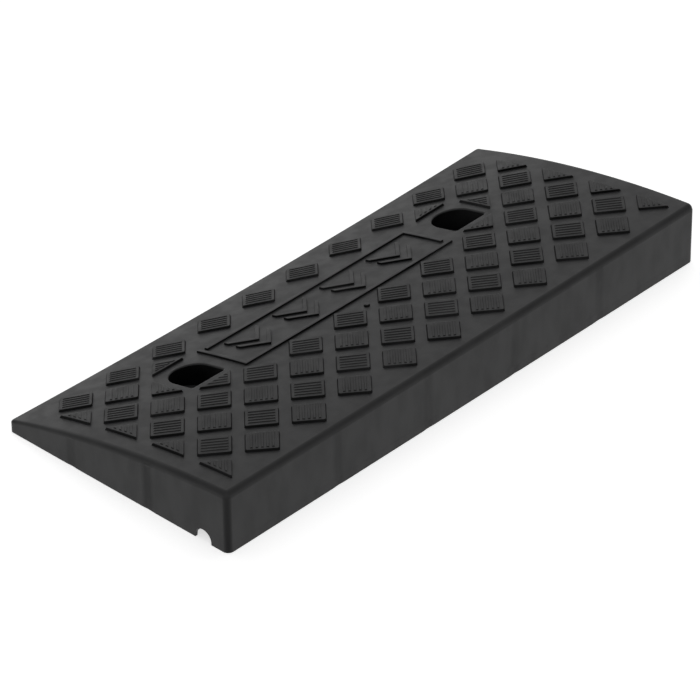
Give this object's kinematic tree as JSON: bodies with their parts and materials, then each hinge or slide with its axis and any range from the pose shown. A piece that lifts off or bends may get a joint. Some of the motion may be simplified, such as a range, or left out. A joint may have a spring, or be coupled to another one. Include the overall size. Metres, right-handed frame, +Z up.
{
  "type": "curb ramp",
  "caption": "Moulded rubber wedge laid against a kerb, with an arched deck, raised diamond tread, anchor pockets with steel washers, ribbed underside and a channel along the kerb.",
  "frame": {"origin": "centre of the ramp's footprint, on the ground", "axes": "+X along the kerb, +Y down the slope to the thin edge, +Z up; the tall kerb face is at -Y"},
  "size_m": [0.5, 0.218, 0.0519],
  "materials": {
    "rubber": "fine matt moulded skin with a faint sheen",
    "washer_steel": "black coated steel, satin"
  },
  "bodies": {
    "root": {"ramp_body": "rubber", "anchor_washer_left": "washer_steel", "anchor_washer_right": "washer_steel"}
  },
  "joints": []
}
